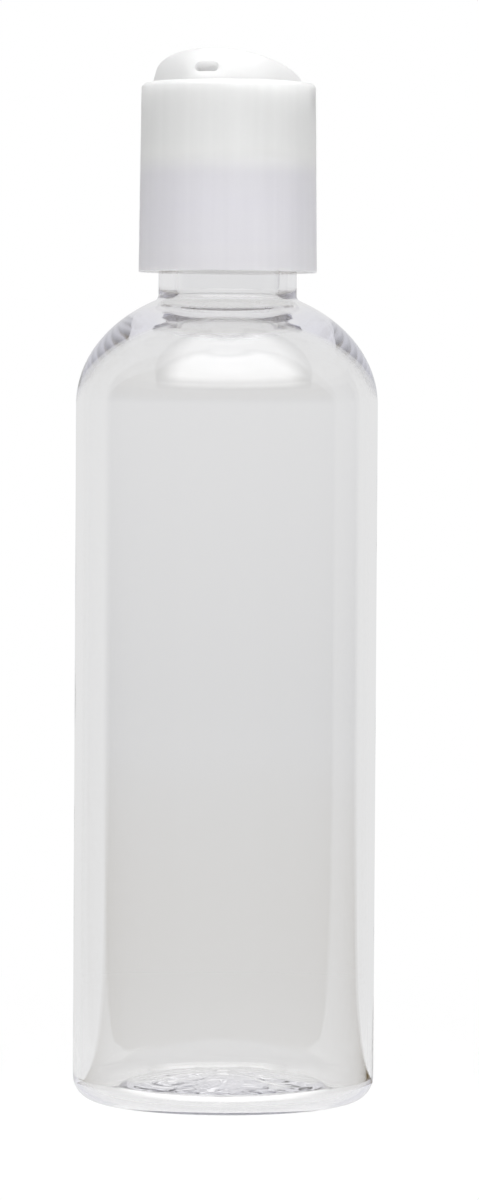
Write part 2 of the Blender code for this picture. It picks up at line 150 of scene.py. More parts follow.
class BottleSizes(bpy.types.PropertyGroup):
    """Sizes and colour of the blown bottle and its screw neck."""

    straight_top: length("Straight top", "Height at which the shoulder starts", 0.0878)
    shoulder_rise: length("Shoulder rise", "Height of the shoulder's full quarter", 0.01485)
    shoulder_wall: length("Shoulder wall", "Thickness at the top of the shoulder", 0.00225)
    wall: length("Wall", "Thickness of the straight wall", 0.0008)
    heel: length("Heel", "Radius of the rounded foot", 0.0030)
    foot: length("Foot ring", "Width of the flat ring that it stands on", 0.0014)
    floor: length("Floor", "Thickness of the floor", 0.0010)
    step: length("Push-up step", "Rise of the step inside the foot ring", 0.0013)
    step_width: length("Step width", "Width of that step", 0.0028)
    crown: length("Push-up crown", "Rise of the floor's middle over the step", 0.0008)
    gate: length("Gate diameter", "Diameter of the moulding gate under the floor", 0.0022)
    gate_depth: length("Gate depth", "How far the gate stands out under the floor", 0.0004)
    swell: length("Floor swell", "How much thicker the floor is at its middle", 0.0006)
    flow: length("Flow marks", "Height of the uneven flow in the floor and heel", 0.00006)
    neck: length("Neck diameter", "Outer diameter of the neck", 0.0174)
    neck_wall: length("Neck wall", "Thickness of the neck", 0.00225)
    neck_fillet: length("Neck fillet", "Round between neck and shoulder", 0.0008)
    bore_round: length("Bore round", "Round where the bore opens into the body", 0.0046)
    lip_round: length("Lip round", "Round on both edges of the lip", 0.0004)
    wave: length("Wave", "Spacing of the slow waves of the blown skin", 0.009)
    wave_height: length("Wave height", "Height of those waves", 0.00004)
    tint: colour("Tint", "Colour that the clear wall gives the light through it", "FFFFFF")
    toner: colour("Toner", "Colour of the toner in the clear wall", "F4F4FF")
    toner_density: amount("Toner density", "How strongly the toner dims light, per metre", 20)


class ThreadSizes(bpy.types.PropertyGroup):
    """The thread of the neck and the one that runs under it in the cap."""

    pitch: length("Pitch", "Rise in one turn", 0.003175)
    turns: amount("Turns", "Turns of each thread", 1.5)
    fade: amount("Fade", "Turns over which a thread starts and ends", 0.12)
    height: length("Height", "Height of the neck's ridge", 0.00115)
    foot: length("Foot", "Width of the neck's ridge at its foot", 0.0020)
    crest: length("Crest", "Width of the neck's ridge at its crest", 0.0007)
    depth: length("Depth", "From the lip down to the top of the neck's thread", 0.0020)
    cap_gap: length("Cap gap", "Gap between the cap's crest and the neck", 0.0004)
    cap_foot: length("Cap foot", "Width of the cap's ridge at its foot", 0.0018)
    cap_crest: length("Cap crest", "Width of the cap's ridge at its crest", 0.0006)
    drop: length("Drop", "How far the cap's thread lies under the neck's", 0.0013237)
    row: length("Row", "Spacing of the rows of faces across a thread", 0.0001)


class WasherSizes(bpy.types.PropertyGroup):
    """Sizes and colour of the foamed washer."""

    edge: length("Edge", "Round of its cut edges", 0.00008)
    foam: colour("Foam", "Colour of the foamed washer", "F8F8F5")
    cell: length("Cell", "Size of a foam cell", 0.00025)
    cell_depth: length("Cell depth", "Depth of a cut cell", 0.00004)


class CapSizes(bpy.types.PropertyGroup):
    """Sizes and colours of the cap body."""

    clearance: length("Clearance", "Gap between pieces that touch or run", 0.0003)
    bore: length("Bore", "Radius of the skirt's bore", 0.01005)
    taper: length("Taper", "How much the top is narrower than the foot", 0.00025)
    rim_wall: length("Rim wall", "Thickness of the rim round the disc", 0.001015)
    rim_round: length("Rim round", "Round of the rim's outer edge", 0.0007)
    edge: length("Edge", "Round of its other edges and corners", 0.0003)
    foot_edge: length("Foot edge", "Round of the foot's outer edge", 0.0001)
    deck: length("Deck", "Thickness of the deck", 0.0010)
    skirt: length("Skirt", "From the foot up to the deck's underside", 0.0150)
    plug: length("Plug", "Length of the plug in the neck", 0.0030)
    plug_wall: length("Plug wall", "Thickness of the plug", 0.0008)
    post: length("Post diameter", "Diameter of the post round the orifice", 0.0044)
    post_height: length("Post height", "Height of the post over the deck", 0.00175)
    orifice: length("Orifice", "Diameter of the hole through the post", 0.0016)
    ledge_width: length("Ledge width", "Width of the stop under the disc's rear", 0.0060)
    ledge_depth: length("Ledge depth", "How far the stop stands out", 0.0016)
    rest_width: length("Rest width", "Width of the two rests under the skirt", 0.0012)
    rest_depth: length("Rest depth", "How far the rests stand out", 0.0022)
    rest_spacing: length("Rest spacing", "From one rest's middle to the other's", 0.0090)
    # Where the painted light on the thin foot reaches, and how softly it ends
    painted_light_height: length("Band height", "Height of the thin foot under the thread", 0.0033)
    blend: length("Blend", "Height over which the foot's tone changes", 0.0010)
    # Where the painted shade over the clear neck starts under the deck, and how softly it starts
    painted_shade_drop: length("Tone drop", "From the deck down to the change of tone", 0.0016)
    painted_shade_blend: length("Upper blend", "Height over which the tone changes at the deck", 0.0038)
    draw: length("Draw marks", "Spacing of the upright marks of the mould", 0.001)
    grain: length("Grain", "Spacing of the moulded face's grain", 0.00012)
    grain_height: length("Grain height", "Height of that grain", 0.00001)
    scatter: length("Scatter", "How far light spreads inside the moulding", 0.003)
    # Painted light and shade: the upper colour is paler where the disc backs the wall, and the
    # lower one is painted shade, cooler, where the thin skirt stands over the clear neck.
    upper: colour("Upper", "Colour where the moulding is backed by the disc", "F0F1F0")
    lower: colour("Lower", "Colour where the skirt stands over the clear neck", "DDDCE2")
    inside: colour("Inside", "Colour of the bore and of the disc's chamber", "FCFCFC")
    # Painted light: the thin foot under the thread is painted a little lighter than the skirt over
    # it.
    painted_light_band: colour("Band", "Colour of the thin foot under the thread", "DEDDE2")


class DiscSizes(bpy.types.PropertyGroup):
    """Sizes and colour of the press disc."""

    gap: length("Gap", "Gap between the disc and the rim round it", 0.0003)
    thickness: length("Thickness", "Thickness of the disc's plate", 0.0014)
    edge: length("Edge", "Round of the plate's upper edge", 0.0002)
    skirt: length("Skirt", "Height of the skirt at the front", 0.0050)
    skirt_wall: length("Skirt wall", "Thickness of that skirt", 0.0010)
    ear: length("Ear", "How far the skirt runs on behind the pins", 0.0013)
    relief: length("Rear relief", "How much the plate is thinned behind", 0.0002)
    top: length("Top", "From the pins up to the plate's top", 0.0019)
    pin: length("Pin diameter", "Diameter of the two pins", 0.0016)
    pin_reach: length("Pin reach", "How far the pins stand into the rim", 0.00045)
    spout_width: length("Spout width", "Width of the spout's slot", 0.0030)
    spout_height: length("Spout height", "Height of the spout's slot", 0.0013)
    spout_depth: length("Spout depth", "From the plate's top to the slot's middle", 0.0027)
    duct_wall: length("Duct wall", "Thickness of the duct behind the spout", 0.0008)
    valve: length("Valve", "Radius of the round that shuts the orifice", 0.0044)
    cheek: length("Cheek", "Wall on both sides of the duct in the valve", 0.0011)
    inlet: length("Inlet", "Diameter of the hole up into the duct", 0.0014)
    dish: length("Dish", "Diameter of the hollow for the thumb", 0.0068)
    dish_depth: length("Dish depth", "Depth of that hollow", 0.00045)
    dish_margin: length("Dish margin", "From the hollow to the plate's rear edge", 0.00115)
    cloud: length("Cloud", "Size of the faint clouds in the plate's tone", 0.004)
    grain: length("Grain", "Spacing of the polished face's grain", 0.00015)
    grain_height: length("Grain height", "Height of that grain", 0.000006)
    scatter: length("Scatter", "How far light spreads inside the disc", 0.0034)
    white: colour("White", "Colour of the disc", "FEFEFE")


class StageSizes(bpy.types.PropertyGroup):
    """Camera, floor and light."""

    azimuth: angle("Azimuth", "Camera's turn from the spout", 18)
    roll: angle("Roll", "Camera's roll in the photograph", 0.34)
    backdrop: amount("Backdrop", "Strength of the backdrop in the object's gloss and wall", 0.78)
    ambient: amount("Ambient", "Strength of the world's light on the object", 0.29)
    softbox: amount("Softbox", "Strength of the softbox", 2.95)
    softbox_reach: length("Softbox reach", "From the object to the softbox", 0.6)
    softbox_height: length("Softbox height", "Height that the softbox is turned to", 0.095)
    card_reach: length("Card reach", "From the object to the card", 0.65)
    floor_radius: length("Floor radius", "Radius of the floor", 3.0)
    shade_reach: length("Shade reach", "How far round the object the floor shows shade", 0.15)
    floor: colour("Floor", "Colour of the floor", "F6F6F6")
    card_top: colour("Card top", "Colour of the card behind the camera at its top", "B8B8BB")
    card_level: colour("Card level", "Colour of that card level with the camera", "C8C8CB")
    card_middle: colour("Card middle", "Colour of that card where it leaves the floor", "8B8B8E")
    card_foot: colour("Card foot", "Colour of that card near the object", "6C5F45")


class Detail(bpy.types.PropertyGroup):
    """How finely the rounds are drawn."""

    turn: IntProperty(name="Turn", description="Faces round a turned piece", default=192, min=24)
    round: IntProperty(name="Round", description="Faces across a small round", default=8, min=2)
    shoulder: IntProperty(
        name="Shoulder", description="Faces up the bottle's shoulder", default=40, min=8
    )


GROUPS = {
    "bottle_sizes": BottleSizes,
    "thread_sizes": ThreadSizes,
    "washer_sizes": WasherSizes,
    "cap_sizes": CapSizes,
    "disc_sizes": DiscSizes,
    "stage_sizes": StageSizes,
    "detail": Detail,
}


def add_node(tree, kind, inputs=None, **settings):
    """Adds a shader node of a kind. Settings are its own, and an input is a value to set or an
    output to link."""
    made = tree.nodes.new(f"ShaderNode{kind}")
    for name, value in settings.items():
        setattr(made, name, value)
    for name, value in (inputs or {}).items():
        if isinstance(value, bpy.types.NodeSocket):
            tree.links.new(value, made.inputs[name])
        else:
            made.inputs[name].default_value = value
    return made


def new_material(name):
    """An empty node material, with its tree."""
    made = bpy.data.materials.new(name)
    made.use_nodes = True
    made.node_tree.nodes.clear()
    return made, made.node_tree


def finish_material(tree, shader):
    """Joins a shader to the material's output."""
    add_node(tree, "OutputMaterial", {"Surface": shader})


def opaque(rgb, share=1):
    """A colour with its alpha, scaled by a share."""
    return (*(share * part for part in rgb), 1)


def object_place(tree):
    """Where the shaded point lies in the object's own frame."""
    return add_node(tree, "TexCoord").outputs["Object"]


def calculate(tree, operation, first, second):
    """What a Math node makes of two numbers."""
    made = add_node(tree, "Math", {0: first, 1: second}, operation=operation)
    return made.outputs["Value"]


def scaled(tree, vector, scale):
    """A vector or colour times another."""
    made = add_node(tree, "VectorMath", {0: vector, 1: scale}, operation="MULTIPLY")
    return made.outputs["Vector"]


def distance_of(tree, vector):
    """The length of a vector."""
    return add_node(tree, "VectorMath", {0: vector}, operation="LENGTH").outputs["Value"]


def ramp(tree, value, start, end, low=0, high=1, kind="SMOOTHSTEP"):
    """Maps what lies from start to end onto low to high, and holds it at both."""
    made = add_node(
        tree, "MapRange",
        {"Value": value, "From Min": start, "From Max": end, "To Min": low, "To Max": high},
        interpolation_type=kind,
    )
    return made.outputs["Result"]


def mixed(tree, share, first, second):
    """A colour between two."""
    inputs = {"Factor": share, "A": first, "B": second}
    return add_node(tree, "Mix", inputs, data_type="RGBA").outputs["Result"]


def noise(tree, place, spacing, octaves, roughness=0.5):
    """Noise whose swells lie the given spacing apart."""
    inputs = {"Vector": place, "Scale": 1 / spacing, "Detail": octaves, "Roughness": roughness}
    return add_node(tree, "TexNoise", inputs).outputs["Fac"]


def bumps(tree, share, height, strength):
    """A normal that shows a share from 0 to 1 as bumps of a height."""
    inputs = {"Height": share, "Distance": height, "Strength": strength}
    return add_node(tree, "Bump", inputs).outputs["Normal"]


def blown_pet(sizes):
    """Clear PET, stretch-blown: glossy and see-through, with the slight slow waves of a blown
    surface. Blue toner, as such resin carries, shows where light runs far inside the wall."""
    made, tree = new_material("clear_blown_pet")
    wave = noise(tree, object_place(tree), sizes.wave, octaves=1, roughness=0.4)
    shader = add_node(
        tree, "BsdfPrincipled",
        {"Base Color": opaque(sizes.tint), "Metallic": 0, "Roughness": 0.0, "IOR": 1.575,
         "Transmission Weight": 1, "Normal": bumps(tree, wave, sizes.wave_height, strength=0.25)},
    )
    inputs = {"Color": opaque(sizes.toner), "Density": sizes.toner_density}
    toner = add_node(tree, "VolumeAbsorption", inputs).outputs["Volume"]
    add_node(tree, "OutputMaterial", {"Surface": shader.outputs["BSDF"], "Volume": toner})
    return made


def polypropylene(tree, place, sizes, tone, roughness, strength):
    """The waxy skin of moulded polypropylene, with the fine matt grain of its mould."""
    grain = noise(tree, place, sizes.grain, octaves=2)
    shader = add_node(
        tree, "BsdfPrincipled",
        {"Base Color": tone, "Metallic": 0, "Roughness": roughness, "IOR": 1.49,
         "Subsurface Weight": 1, "Subsurface Radius": (1, 1, 1),
         "Subsurface Scale": sizes.scatter,
         "Normal": bumps(tree, grain, sizes.grain_height, strength)},
    )
    finish_material(tree, shader.outputs["BSDF"])


def cap_polypropylene(sizes, painted_shade_top):
    """White polypropylene, injection moulded: half matt. Light through the thin moulding is painted
    in: cooler, darker painted shade over the clear neck than where the disc backs it, and painted
    light at its foot."""
    made, tree = new_material("white_moulded_polypropylene")
    place = object_place(tree)
    height = add_node(tree, "SeparateXYZ", {"Vector": place}).outputs["Z"]
    # The moulding's tone is painted light and shade: paler where the disc backs it, painted shade
    # over the clear neck and painted light at the thin foot.
    half, low_half = sizes.painted_shade_blend / 2, sizes.blend / 2
    painted_light_top = CAP_LOW.z + sizes.painted_light_height
    upper = ramp(tree, height, painted_shade_top - half, painted_shade_top + half)
    # Painted light on the thin foot under the thread
    foot = ramp(tree, height, painted_light_top + low_half, painted_light_top - low_half)
    lower = mixed(tree, foot, opaque(sizes.lower), opaque(sizes.painted_light_band))
    painted_shade_tone = mixed(tree, upper, lower, opaque(sizes.upper))
    # Faint upright marks, where the skirt was drawn out of its mould
    drawn = noise(tree, scaled(tree, place, (1, 1, 0.03)), sizes.draw, octaves=1)
    marked = scaled(tree, painted_shade_tone, ramp(tree, drawn, 0, 1, *DRAW_SHADES, "LINEAR"))
    # The bore and the chamber are the moulding's plain white.
    radius = distance_of(tree, scaled(tree, place, (1, 1, 0)))
    wall = sizes.rim_wall
    outside = ramp(tree, radius, sizes.bore + wall / 4, sizes.bore + wall / 2, kind="LINEAR")
    toned = mixed(tree, outside, opaque(sizes.inside), marked)
    polypropylene(tree, place, sizes, toned, roughness=0.36, strength=0.15)
    return made


def disc_polypropylene(sizes):
    """White polypropylene, injection moulded and polished: brighter and glossier than the cap."""
    made, tree = new_material("white_polished_polypropylene")
    place = object_place(tree)
    cloud = noise(tree, place, sizes.cloud, octaves=2)
    tone = mixed(tree, cloud, opaque(sizes.white), opaque(sizes.white, CLOUD_SHADE))
    polypropylene(tree, place, sizes, tone, roughness=0.28, strength=0.1)
    return made


def washer_foam(sizes):
    """Polyethylene foam, cut from sheet: dull and soft white, pitted by its small cells, with
    painted shade in each pit.
    """
    made, tree = new_material("foamed_polyethylene")
    inputs = {"Vector": object_place(tree), "Scale": 1 / sizes.cell}
    cells = add_node(tree, "TexVoronoi", inputs).outputs["Distance"]
    # Painted shade: each cell is darker towards its middle, where its bump is deepest.
    tone = mixed(tree, cells, opaque(sizes.foam, PAINTED_PIT_SHADE), opaque(sizes.foam))
    shader = add_node(
        tree, "BsdfPrincipled",
        {"Base Color": tone, "Metallic": 0, "Roughness": 0.8, "IOR": 1.45,
         "Normal": bumps(tree, cells, sizes.cell_depth, strength=0.5)},
    )
    finish_material(tree, shader.outputs["BSDF"])
    return made


def smooth(data, sharp=35):
    """Shades a mesh smooth but for edges sharper than an angle in degrees."""
    data.shade_smooth()
    data.set_sharp_from_angle(angle=math.radians(sharp))


def add_object(name, mesh):
    """Puts a bmesh into a new object."""
    data = bpy.data.meshes.new(name)
    mesh.to_mesh(data)
    mesh.free()
    smooth(data)
    made = bpy.data.objects.new(name, data)
    bpy.context.scene.collection.objects.link(made)
    return made


def arc(middle, height, radius, start, end, steps):
    """Points on an arc in the profile plane, with its angles in degrees from +X."""
    points = []
    for i in range(steps + 1):
        turn = math.radians(start + (end - start) * i / steps)
        points.append((middle + radius * math.cos(turn), height + radius * math.sin(turn)))
    return points


def lathe(name, profile, steps, closed=False):
    """Turns a profile about Z. A point is (radius, height), or (radius, height, relief), where
    relief gives the point's shift outward and upward at an angle."""
    mesh = bmesh.new()
    rings = []
    for radius, height, *relief in profile:
        if radius < POLE:
            rings.append([mesh.verts.new((0, 0, height))])
            continue
        ring = []
        for step in range(steps):
            turn = math.tau * step / steps
            out, up = relief[0](turn) if relief else (0, 0)
            reach = radius + out
            ring.append(mesh.verts.new(
                (reach * math.cos(turn), reach * math.sin(turn), height + up)
            ))
        rings.append(ring)
    pairs = list(zip(rings, rings[1:]))
    if closed:
        pairs.append((rings[-1], rings[0]))
    for lower, upper in pairs:
        for step in range(steps):
            after = (step + 1) % steps
            if len(lower) == 1:
                corners = (lower[0], upper[step], upper[after])
            elif len(upper) == 1:
                corners = (lower[step], lower[after], upper[0])
            else:
                corners = (lower[step], lower[after], upper[after], upper[step])
            mesh.faces.new(corners)
    bmesh.ops.recalc_face_normals(mesh, faces=mesh.faces)
    return add_object(name, mesh)


def block(name, low, high, soft=0, segments=3, along_y=False):
    """A box between two corners with its edges rounded, or only those along Y."""
    mesh = bmesh.new()
    bmesh.ops.create_cube(mesh, size=1)
    for point in mesh.verts:
        for axis in range(3):
            point.co[axis] = high[axis] if point.co[axis] > 0 else low[axis]
    if soft:
        edges = mesh.edges[:]
        if along_y:
            edges = [e for e in edges if abs((e.verts[0].co - e.verts[1].co).y) > POLE]
        bmesh.ops.bevel(
            mesh, geom=edges, offset=soft, segments=segments, profile=0.5, affect="EDGES"
        )
    return add_object(name, mesh)


def shaft(name, radius, start, end, axis, edge, detail, steps=48):
    """A turned rod along X or Z with rounded ends."""
    low, high = min(start, end), max(start, end)
    profile = [(0, low)]
    profile += arc(radius - edge, low + edge, edge, -90, 0, detail.round // 2)
    profile += arc(radius - edge, high - edge, edge, 0, 90, detail.round // 2)
    profile += [(0, high)]
    made = lathe(name, profile, steps)
    if axis == "X":
        made.data.transform(Matrix.Rotation(math.pi / 2, 4, "Y"))
    return made


def carve(target, tool, operation="DIFFERENCE"):
    """Adds a Boolean step with a tool that settle() takes away."""
    step = target.modifiers.new(tool.name, "BOOLEAN")
    step.object = tool
    step.operation = operation
    step.solver = "EXACT"


def settle(made, sharp=35):
    """Applies a piece's Boolean steps in order and takes their tools away."""
    tools = [step.object for step in made.modifiers]
    bpy.context.view_layer.update()
    graph = bpy.context.evaluated_depsgraph_get()
    data = bpy.data.meshes.new_from_object(made.evaluated_get(graph))
    if len(data.polygons) <= len(made.data.polygons) // 2:
        raise RuntimeError(f"{made.name} lost most of its faces")
    made.modifiers.clear()
    made.data = data
    data.name = made.name
    for tool in tools:
        bpy.data.objects.remove(tool)
    smooth(data, sharp)


def place(piece, material, node, body, record_slot):
    """Gives a piece its finish and its body, and hides the node that it stands for."""
    piece.data.materials.clear()
    piece.data.materials.append(material)
    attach(piece, body)
    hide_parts(node)


def ridge(height, turn, start, thread, tall, foot, crest):
    """How far a thread stands from its wall at a height and an angle round it."""
    best = 0
    for lap in range(math.ceil(thread.turns)):
        along = turn / math.tau + lap
        if along > thread.turns:
            break
        off = abs(height - start - thread.pitch * along)
        share = min(max((foot / 2 - off) / ((foot - crest) / 2), 0), 1)
        share = (share + share * share * (3 - 2 * share)) / 2
        fade = min(1, along / thread.fade, (thread.turns - along) / thread.fade)
        best = max(best, tall * share * fade)
    return best


def thread_wall(radius, start, thread, tall, foot, crest, side=1):
    """A wall's points up the length of its thread, which stands outward, or inward for -1."""
    low = start - foot / 2
    high = start + thread.pitch * thread.turns + foot / 2
    rows = math.ceil((high - low) / thread.row)
    points = []
    for i in range(rows + 1):
        height = low + (high - low) * i / rows
        points.append((radius, height, lambda turn, height=height: (
            side * ridge(height, turn, start, thread, tall, foot, crest), 0
        )))
    return points


def neck_thread_start(thread):
    """Height of the middle of the neck's thread at its lower end."""
    return BOTTLE_HIGH.z - thread.depth - thread.pitch * thread.turns


def push_up(sizes, radius):
    """Height of the floor's underside at a radius."""
    inside = BOTTLE_HIGH.x - sizes.heel - sizes.foot
    plateau = inside - sizes.step_width
    if radius > plateau:
        share = max(0, inside - radius) / sizes.step_width
        return sizes.step * (1 - math.cos(math.pi * share)) / 2
    return sizes.step + sizes.crown * (1 - (radius / plateau) ** 2)


def shoulder(sizes, half_width, rise, neck, corner_round, detail):
    """From the straight wall up a quarter ellipse, and round a corner into the neck's wall."""
    meeting = neck + corner_round / 2
    height = rise * math.sqrt(1 - (meeting / half_width) ** 2)
    slope = math.degrees(math.atan((rise / half_width) ** 2 * meeting / height))
    corner = arc(neck + corner_round, 0, corner_round, 180, 270 - slope, detail.round)
    radius, foot = corner.pop()
    lift = sizes.straight_top + rise * math.sqrt(1 - (radius / half_width) ** 2) - foot
    end, steps = math.acos(radius / half_width), detail.shoulder
    points = [
        (half_width * math.cos(end * i / steps),
         sizes.straight_top + rise * math.sin(end * i / steps))
        for i in range(steps + 1)
    ]
    return points + [(r, z + lift) for r, z in reversed(corner)]


def flow_marks(sizes, share):
    """The uneven thickness that the flowing plastic leaves in a blown floor."""
    def relief(turn):
        waves = math.sin(5 * turn + 0.7) + 0.7 * math.sin(9 * turn + 2.1)
        return 0, sizes.flow * share * (waves + 0.5 * math.sin(16 * turn + share * 6))
    return relief


def bottle_profile(sizes, thread, detail):
    """From the floor's middle up the inside, over the lip and down the outside."""
    body = BOTTLE_HIGH.x
    top = BOTTLE_HIGH.z
    neck = sizes.neck / 2
    bore = neck - sizes.neck_wall
    inner = body - sizes.wall
    inner_heel = sizes.heel - sizes.wall
    inside = body - sizes.heel - sizes.foot
    flat = inner - inner_heel
    points = [(0, sizes.floor + sizes.swell + push_up(sizes, 0))]
    for i in range(1, FLOOR_RINGS + 1):
        radius = flat * i / FLOOR_RINGS
        across = math.pi * min(1, radius / inside)
        height = sizes.floor + sizes.swell * (1 + math.cos(across)) / 2 + push_up(sizes, radius)
        points.append((radius, height, flow_marks(sizes, math.sin(across) ** 2)))
    points += arc(flat, sizes.floor + inner_heel, inner_heel, -90, 0, INNER_HEEL_STEPS)[1:]
    straight = sizes.floor + inner_heel
    points += [
        (inner, straight + (sizes.straight_top - straight) * i / WALL_RINGS)
        for i in range(1, WALL_RINGS)
    ]
    inner_rise = sizes.shoulder_rise - sizes.shoulder_wall
    points += shoulder(sizes, inner, inner_rise, bore, sizes.bore_round, detail)
    lip = sizes.lip_round
    points += arc(bore + lip, top - lip, lip, 180, 90, detail.round)
    points += arc(neck - lip, top - lip, lip, 90, 0, detail.round)

    points += reversed(thread_wall(
        neck, neck_thread_start(thread), thread, thread.height, thread.foot, thread.crest
    ))
    points += reversed(
        shoulder(sizes, body, sizes.shoulder_rise, neck, sizes.neck_fillet, detail)
    )
    points += [
        (body, (sizes.straight_top * i + sizes.heel * (WALL_RINGS - i)) / WALL_RINGS)
        for i in range(WALL_RINGS - 1, 0, -1)
    ]
    points += arc(body - sizes.heel, sizes.heel, sizes.heel, 0, -90, HEEL_STEPS)
    gate, tip = sizes.gate / 2, sizes.gate * 0.04
    rings = [inside * i / FLOOR_RINGS for i in range(FLOOR_RINGS, 0, -1)]
    points += [(ring, push_up(sizes, ring)) for ring in rings if ring > gate]
    points += [(gate, push_up(sizes, gate))]
    nub = push_up(sizes, gate) - sizes.gate_depth
    points += arc(sizes.gate * 0.4, nub + tip, tip, 0, -90, 3)
    return points + [(0, nub)]


def chamber_radius(cap):
    """Radius of the chamber that the disc rocks in."""
    return CAP_HIGH.x - cap.taper - cap.rim_wall


def cap_profile(sizes, thread, neck, bore, detail):
    """From the deck's middle up the chamber, over the rim, down the outside, up the skirt's
    bore and over the plug to the middle of the deck's underside."""
    low, high, foot = CAP_LOW.z, CAP_HIGH.z, CAP_HIGH.x
    rim = foot - sizes.taper
    under = low + sizes.skirt
    deck = under + sizes.deck
    chamber = chamber_radius(sizes)
    edge = sizes.edge
    small = edge / 2
    steps = detail.round
    points = [(0, deck), (chamber * 0.4, deck), (chamber * 0.8, deck)]
    points += arc(chamber - small, deck + small, small, -90, 0, steps // 2)
    points += arc(chamber + edge, high - edge, edge, 180, 90, steps)
    points += arc(rim - sizes.rim_round, high - sizes.rim_round, sizes.rim_round, 90, 0, steps)
    points += [
        (rim + sizes.taper * i / CAP_RINGS, high - sizes.rim_round - (high - low) * i / CAP_RINGS)
        for i in range(1, CAP_RINGS)
    ]
    tight = sizes.foot_edge
    points += arc(foot - tight, low + tight, tight, 0, -90, steps // 2)
    points += arc(sizes.bore + small, low + small, small, -90, -180, steps // 2)

    start = neck_thread_start(thread) - thread.drop
    tall = sizes.bore - neck - thread.cap_gap
    points += thread_wall(
        sizes.bore, start, thread, tall, thread.cap_foot, thread.cap_crest, side=-1
    )
    plug = bore - sizes.clearance
    end = under - sizes.plug
    nose = sizes.plug_wall / 2
    points += arc(sizes.bore - small, under - small, small, 0, 90, steps // 2)
    points += arc(plug + small, under - small, small, 90, 180, steps // 2)
    points += arc(plug - nose, end + nose, nose, 0, -90, steps)
    points += arc(plug - sizes.plug_wall + small, end + small, small, -90, -180, steps // 2)
    hollow = plug - sizes.plug_wall
    points += arc(hollow - small, under - small, small, 0, 90, steps // 2)
    return points + [(hollow * 0.5, under), (0, under)]


def disc_radius(cap, disc):
    """Radius of the disc, a gap less than its chamber's."""
    return chamber_radius(cap) - disc.gap


def barrel(radius, height):
    """The disc's radius at a height over its pins: it is round, so that it clears the chamber."""
    return math.sqrt(radius**2 - height**2)


def ledge_height(cap, disc):
    """Height of the stop that the open disc's rear edge comes down on."""
    underside = disc.top - disc.thickness + disc.relief
    edge = barrel(disc_radius(cap, disc), underside) - PIVOT.y
    drop = edge * math.sin(OPEN_ANGLE) - underside * math.cos(OPEN_ANGLE)
    return PIVOT.z - drop - cap.clearance


def disc_profile(sizes, radius, detail):
    """Across the plate's top, down the round skirt and back along the plate's underside."""
    top, bottom = sizes.top, sizes.top - sizes.skirt
    underside = top - sizes.thickness
    edge, small = sizes.edge, sizes.edge / 2
    shoulder = top - edge
    flat = barrel(radius, shoulder) - edge
    foot = barrel(radius, bottom + small)
    points = [(0, top), (flat * 0.5, top), (flat * 0.98, top)]
    points += arc(flat, shoulder, edge, 90, 8, detail.round)
    for i in range(DISC_RINGS + 1):
        height = shoulder + (bottom + small - shoulder) * i / DISC_RINGS
        points.append((barrel(radius, height), height))
    points += arc(foot - small, bottom + small, small, -15, -90, detail.round // 2)
    inner = foot - sizes.skirt_wall
    points += arc(inner + small, bottom + small, small, -90, -180, detail.round // 2)
    hollow = barrel(radius, underside) - sizes.skirt_wall
    points += arc(hollow - edge, underside - edge, edge, 0, 90, detail.round)
    return points + [(hollow * 0.5, underside), (0, underside)]


def thumb_hollow(sizes, radius):
    """A lens that hollows the rear of the plate's top."""
    half = sizes.dish / 2
    bowl = (half**2 + sizes.dish_depth**2) / (2 * sizes.dish_depth)
    reach = math.degrees(math.asin(half / bowl))
    over = sizes.thickness
    profile = [(0, over), (half, over)]
    profile += arc(0, bowl - sizes.dish_depth, bowl, reach - 90, -90, 16)[:-1]
    made = lathe("thumb_hollow", profile + [(0, -sizes.dish_depth)], 96)
    rear = barrel(radius, sizes.top) - PIVOT.y
    made.location = (0, rear - sizes.dish_margin - half, sizes.top)
    return made


class BOTTLE_OT_add_bottle(bpy.types.Operator):
    """Adds the clear bottle with its screw neck"""

    bl_idname = "press_bottle.add_bottle"
    bl_label = "Bottle"

    def execute(self, context):
        scene = context.scene
        sizes, detail = scene.bottle_sizes, scene.detail
        made = lathe("bottle_shell", bottle_profile(sizes, scene.thread_sizes, detail), detail.turn)
        place(made, blown_pet(sizes), "bottle", "bottle", "clear_pet")
        return {"FINISHED"}


class BOTTLE_OT_add_washer(bpy.types.Operator):
    """Adds the foamed washer that lies under the cap's deck"""

    bl_idname = "press_bottle.add_washer"
    bl_label = "Sealing washer"

    def execute(self, context):
        sizes, detail = context.scene.washer_sizes, context.scene.detail
        bottle = context.scene.bottle_sizes
        low, high, outer = WASHER_LOW.z, WASHER_HIGH.z, WASHER_HIGH.x
        inner = bottle.neck / 2 - bottle.neck_wall
        edge, steps = sizes.edge, detail.round // 2
        profile = arc(outer - edge, high - edge, edge, 90, 0, steps)
        profile += arc(outer - edge, low + edge, edge, 0, -90, steps)
        profile += arc(inner + edge, low + edge, edge, -90, -180, steps)
        profile += arc(inner + edge, high - edge, edge, 180, 90, steps)
        made = lathe("foam_washer", profile, detail.turn, closed=True)
        place(made, washer_foam(sizes), "seal_washer", "washer", "white_foam")
        return {"FINISHED"}


